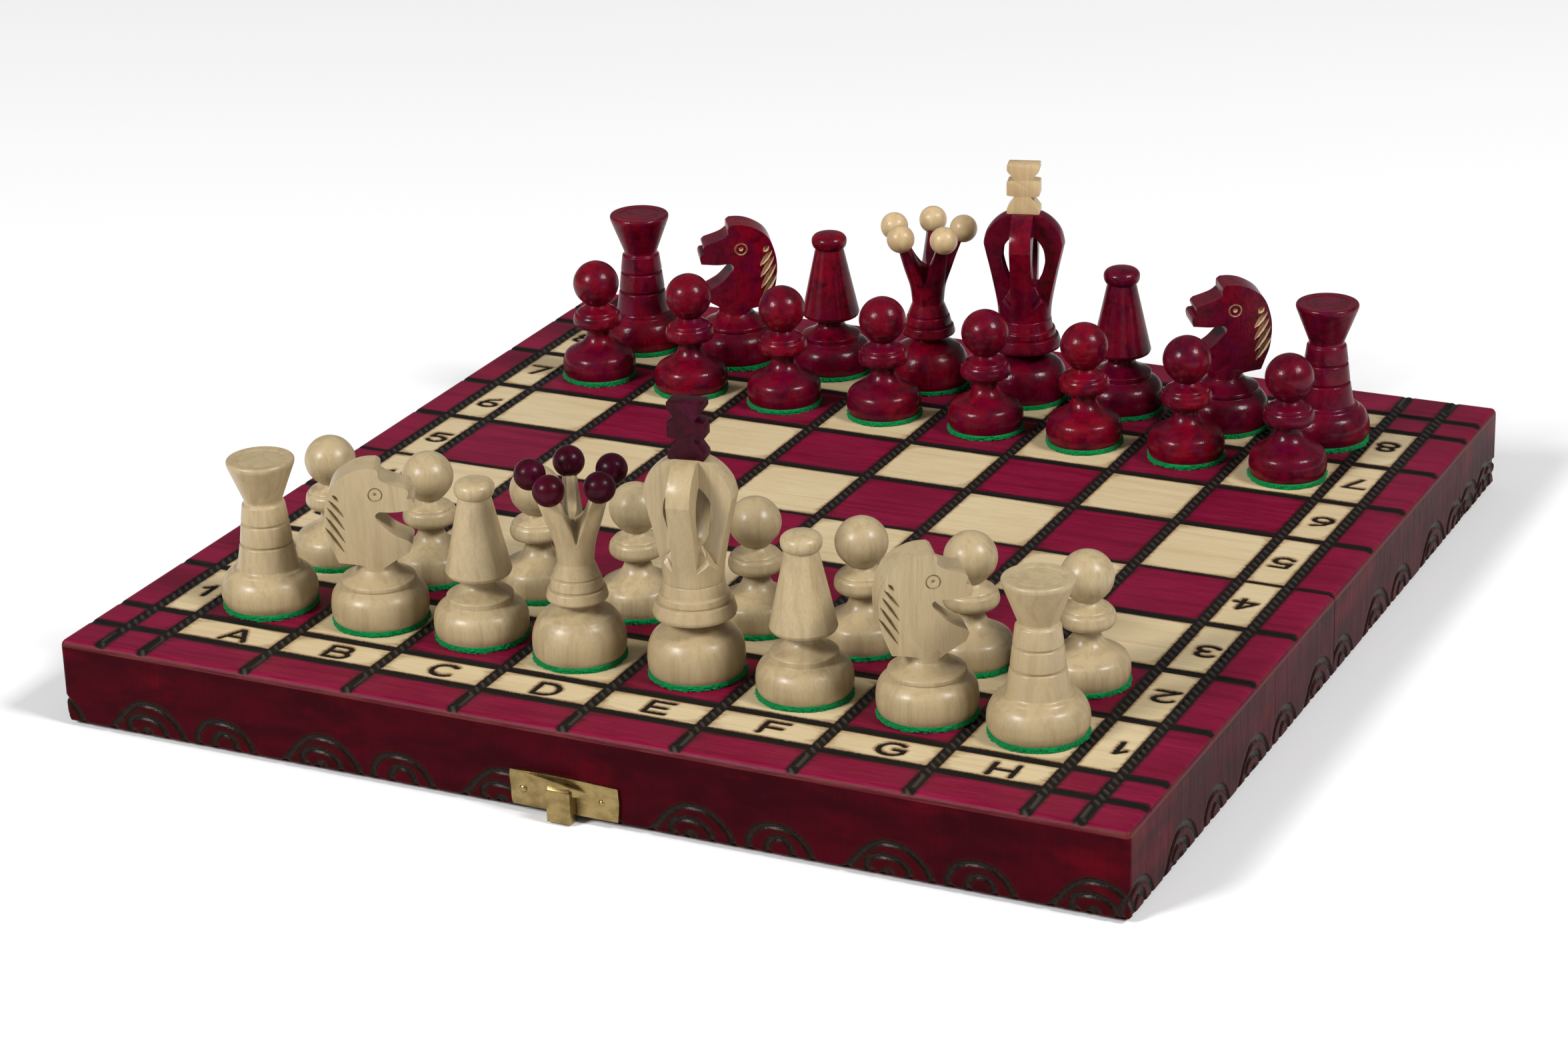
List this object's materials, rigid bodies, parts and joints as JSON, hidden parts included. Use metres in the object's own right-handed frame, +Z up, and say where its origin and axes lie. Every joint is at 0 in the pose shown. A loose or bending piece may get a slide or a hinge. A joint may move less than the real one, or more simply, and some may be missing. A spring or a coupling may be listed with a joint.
{
  "type": "folding chess set",
  "caption": "Folding wooden chess box laid open as a board, with two hinged trays, a brass clasp and a full set of turned chessmen set up for play.",
  "frame": {"origin": "middle of the set's bounding box, on the table", "axes": "+X from the a-file to the h-file, +Y from White's side to Black's, +Z up; the front is White's side, where the clasp is"},
  "size_m": [0.2784, 0.2874, 0.092],
  "materials": {
    "board_top": "red-stained and pale squares between burned lines, satin lacquer",
    "board_wall": "dark red stain, glossy lacquer, burned arcs",
    "pale_wood": "natural lacquered wood, green felt underneath",
    "red_wood": "red stain under lacquer, green felt underneath",
    "dark_red_trim": "dark red stain, satin",
    "pale_trim": "natural wood, satin",
    "brass": "aged stamped sheet",
    "felt": "green felt discs glued under the chessmen"
  },
  "bodies": {
    "front_half": {"front_panel": "board_top", "front_frame": "board_wall", "front_seam_wall": "board_wall", "hinge_left_front_leaf": "brass", "hinge_left_pin": "brass", "hinge_right_front_leaf": "brass", "hinge_right_pin": "brass", "latch_plate": "brass"},
    "back_half": {"back_panel": "board_top", "back_frame": "board_wall", "back_seam_wall": "board_wall", "hinge_left_back_leaf": "brass", "hinge_right_back_leaf": "brass", "catch_plate": "brass"},
    "tongue": {"latch_tongue": "brass"},
    "white_rook_a1": {"white_rook_a1": "pale_wood"},
    "white_knight_b1": {"white_knight_b1": "pale_wood"},
    "white_bishop_c1": {"white_bishop_c1": "pale_wood"},
    "white_queen_d1": {"white_queen_d1": "pale_wood", "white_queen_d1_ball_1": "dark_red_trim", "white_queen_d1_ball_2": "dark_red_trim", "white_queen_d1_ball_3": "dark_red_trim", "white_queen_d1_ball_4": "dark_red_trim", "white_queen_d1_ball_5": "dark_red_trim"},
    "white_king_e1": {"white_king_e1": "pale_wood", "white_king_e1_cross": "dark_red_trim"},
    "white_bishop_f1": {"white_bishop_f1": "pale_wood"},
    "white_knight_g1": {"white_knight_g1": "pale_wood"},
    "white_rook_h1": {"white_rook_h1": "pale_wood"},
    "white_pawn_a2": {"white_pawn_a2": "pale_wood"},
    "white_pawn_b2": {"white_pawn_b2": "pale_wood"},
    "white_pawn_c2": {"white_pawn_c2": "pale_wood"},
    "white_pawn_d2": {"white_pawn_d2": "pale_wood"},
    "white_pawn_e2": {"white_pawn_e2": "pale_wood"},
    "white_pawn_f2": {"white_pawn_f2": "pale_wood"},
    "white_pawn_g2": {"white_pawn_g2": "pale_wood"},
    "white_pawn_h2": {"white_pawn_h2": "pale_wood"},
    "black_rook_a8": {"black_rook_a8": "red_wood"},
    "black_knight_b8": {"black_knight_b8": "red_wood"},
    "black_bishop_c8": {"black_bishop_c8": "red_wood"},
    "black_queen_d8": {"black_queen_d8": "red_wood", "black_queen_d8_ball_1": "pale_trim", "black_queen_d8_ball_2": "pale_trim", "black_queen_d8_ball_3": "pale_trim", "black_queen_d8_ball_4": "pale_trim", "black_queen_d8_ball_5": "pale_trim"},
    "black_king_e8": {"black_king_e8": "red_wood", "black_king_e8_cross": "pale_trim"},
    "black_bishop_f8": {"black_bishop_f8": "red_wood"},
    "black_knight_g8": {"black_knight_g8": "red_wood"},
    "black_rook_h8": {"black_rook_h8": "red_wood"},
    "black_pawn_a7": {"black_pawn_a7": "red_wood"},
    "black_pawn_b7": {"black_pawn_b7": "red_wood"},
    "black_pawn_c7": {"black_pawn_c7": "red_wood"},
    "black_pawn_d7": {"black_pawn_d7": "red_wood"},
    "black_pawn_e7": {"black_pawn_e7": "red_wood"},
    "black_pawn_f7": {"black_pawn_f7": "red_wood"},
    "black_pawn_g7": {"black_pawn_g7": "red_wood"},
    "black_pawn_h7": {"black_pawn_h7": "red_wood"}
  },
  "joints": [
    {"name": "fold", "type": "hinge", "parent": "front_half", "child": "back_half", "pos_m": [0, 0.0006, 0.001], "axis": [-1, 0, 0], "range_deg": [0, 180]},
    {"name": "tongue_swing", "type": "hinge", "parent": "front_half", "child": "tongue", "pos_m": [0, -0.1425, 0.008], "axis": [1, 0, 0], "range_deg": [-20, 0]},
    {"name": "lift_rook_a1", "type": "slide", "parent": "front_half", "child": "white_rook_a1", "axis": [0, 0, 1], "range_m": [0, 0.08]},
    {"name": "lift_knight_b1", "type": "slide", "parent": "front_half", "child": "white_knight_b1", "axis": [0, 0, 1], "range_m": [0, 0.08]},
    {"name": "lift_bishop_c1", "type": "slide", "parent": "front_half", "child": "white_bishop_c1", "axis": [0, 0, 1], "range_m": [0, 0.08]},
    {"name": "lift_queen_d1", "type": "slide", "parent": "front_half", "child": "white_queen_d1", "axis": [0, 0, 1], "range_m": [0, 0.08]},
    {"name": "lift_king_e1", "type": "slide", "parent": "front_half", "child": "white_king_e1", "axis": [0, 0, 1], "range_m": [0, 0.08]},
    {"name": "lift_bishop_f1", "type": "slide", "parent": "front_half", "child": "white_bishop_f1", "axis": [0, 0, 1], "range_m": [0, 0.08]},
    {"name": "lift_knight_g1", "type": "slide", "parent": "front_half", "child": "white_knight_g1", "axis": [0, 0, 1], "range_m": [0, 0.08]},
    {"name": "lift_rook_h1", "type": "slide", "parent": "front_half", "child": "white_rook_h1", "axis": [0, 0, 1], "range_m": [0, 0.08]},
    {"name": "lift_pawn_a2", "type": "slide", "parent": "front_half", "child": "white_pawn_a2", "axis": [0, 0, 1], "range_m": [0, 0.08]},
    {"name": "lift_pawn_b2", "type": "slide", "parent": "front_half", "child": "white_pawn_b2", "axis": [0, 0, 1], "range_m": [0, 0.08]},
    {"name": "lift_pawn_c2", "type": "slide", "parent": "front_half", "child": "white_pawn_c2", "axis": [0, 0, 1], "range_m": [0, 0.08]},
    {"name": "lift_pawn_d2", "type": "slide", "parent": "front_half", "child": "white_pawn_d2", "axis": [0, 0, 1], "range_m": [0, 0.08]},
    {"name": "lift_pawn_e2", "type": "slide", "parent": "front_half", "child": "white_pawn_e2", "axis": [0, 0, 1], "range_m": [0, 0.08]},
    {"name": "lift_pawn_f2", "type": "slide", "parent": "front_half", "child": "white_pawn_f2", "axis": [0, 0, 1], "range_m": [0, 0.08]},
    {"name": "lift_pawn_g2", "type": "slide", "parent": "front_half", "child": "white_pawn_g2", "axis": [0, 0, 1], "range_m": [0, 0.08]},
    {"name": "lift_pawn_h2", "type": "slide", "parent": "front_half", "child": "white_pawn_h2", "axis": [0, 0, 1], "range_m": [0, 0.08]},
    {"name": "lift_rook_a8", "type": "slide", "parent": "back_half", "child": "black_rook_a8", "axis": [0, 0, 1], "range_m": [0, 0.08]},
    {"name": "lift_knight_b8", "type": "slide", "parent": "back_half", "child": "black_knight_b8", "axis": [0, 0, 1], "range_m": [0, 0.08]},
    {"name": "lift_bishop_c8", "type": "slide", "parent": "back_half", "child": "black_bishop_c8", "axis": [0, 0, 1], "range_m": [0, 0.08]},
    {"name": "lift_queen_d8", "type": "slide", "parent": "back_half", "child": "black_queen_d8", "axis": [0, 0, 1], "range_m": [0, 0.08]},
    {"name": "lift_king_e8", "type": "slide", "parent": "back_half", "child": "black_king_e8", "axis": [0, 0, 1], "range_m": [0, 0.08]},
    {"name": "lift_bishop_f8", "type": "slide", "parent": "back_half", "child": "black_bishop_f8", "axis": [0, 0, 1], "range_m": [0, 0.08]},
    {"name": "lift_knight_g8", "type": "slide", "parent": "back_half", "child": "black_knight_g8", "axis": [0, 0, 1], "range_m": [0, 0.08]},
    {"name": "lift_rook_h8", "type": "slide", "parent": "back_half", "child": "black_rook_h8", "axis": [0, 0, 1], "range_m": [0, 0.08]},
    {"name": "lift_pawn_a7", "type": "slide", "parent": "back_half", "child": "black_pawn_a7", "axis": [0, 0, 1], "range_m": [0, 0.08]},
    {"name": "lift_pawn_b7", "type": "slide", "parent": "back_half", "child": "black_pawn_b7", "axis": [0, 0, 1], "range_m": [0, 0.08]},
    {"name": "lift_pawn_c7", "type": "slide", "parent": "back_half", "child": "black_pawn_c7", "axis": [0, 0, 1], "range_m": [0, 0.08]},
    {"name": "lift_pawn_d7", "type": "slide", "parent": "back_half", "child": "black_pawn_d7", "axis": [0, 0, 1], "range_m": [0, 0.08]},
    {"name": "lift_pawn_e7", "type": "slide", "parent": "back_half", "child": "black_pawn_e7", "axis": [0, 0, 1], "range_m": [0, 0.08]},
    {"name": "lift_pawn_f7", "type": "slide", "parent": "back_half", "child": "black_pawn_f7", "axis": [0, 0, 1], "range_m": [0, 0.08]},
    {"name": "lift_pawn_g7", "type": "slide", "parent": "back_half", "child": "black_pawn_g7", "axis": [0, 0, 1], "range_m": [0, 0.08]},
    {"name": "lift_pawn_h7", "type": "slide", "parent": "back_half", "child": "black_pawn_h7", "axis": [0, 0, 1], "range_m": [0, 0.08]}
  ]
}
